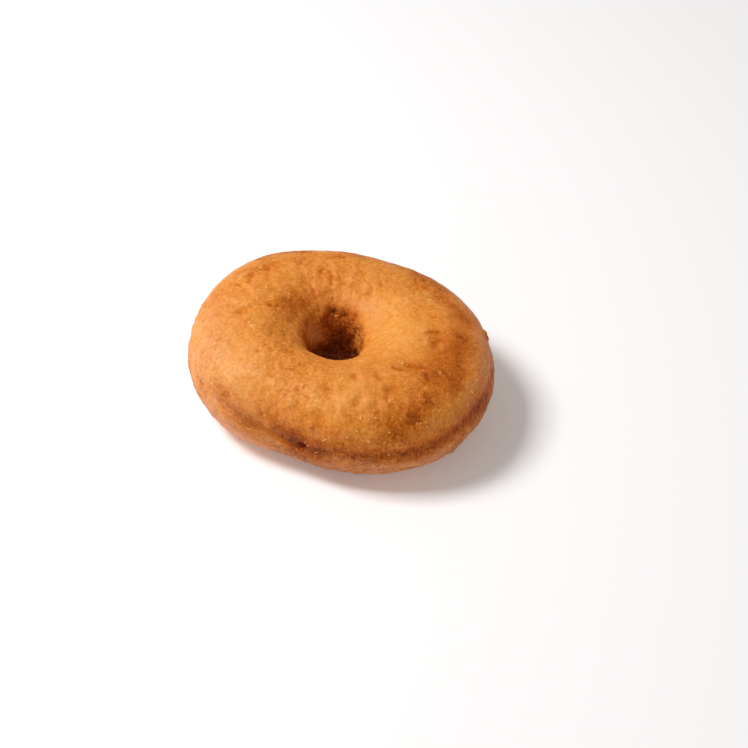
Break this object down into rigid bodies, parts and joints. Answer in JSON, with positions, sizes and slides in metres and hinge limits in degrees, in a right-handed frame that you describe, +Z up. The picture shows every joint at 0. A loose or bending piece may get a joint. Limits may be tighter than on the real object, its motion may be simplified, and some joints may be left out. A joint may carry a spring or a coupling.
{
  "type": "ring doughnut",
  "caption": "Plain fried ring doughnut: an oval, uneven ring of dough with a funnel-shaped hole, a browned belt round its side and a flat underside.",
  "frame": {"origin": "middle of the bounding box's underside, on the plane the ring rests on", "axes": "+Z up out of the rest plane; +X along the long way of the oval ring; +Y across it"},
  "size_m": [0.0986, 0.0808, 0.0336],
  "materials": {
    "crust": "golden-brown fried crust with a faint oily sheen, finely dimpled, darker in a belt round the side and in the hole"
  },
  "bodies": {
    "root": {"doughnut": "crust"}
  },
  "joints": []
}
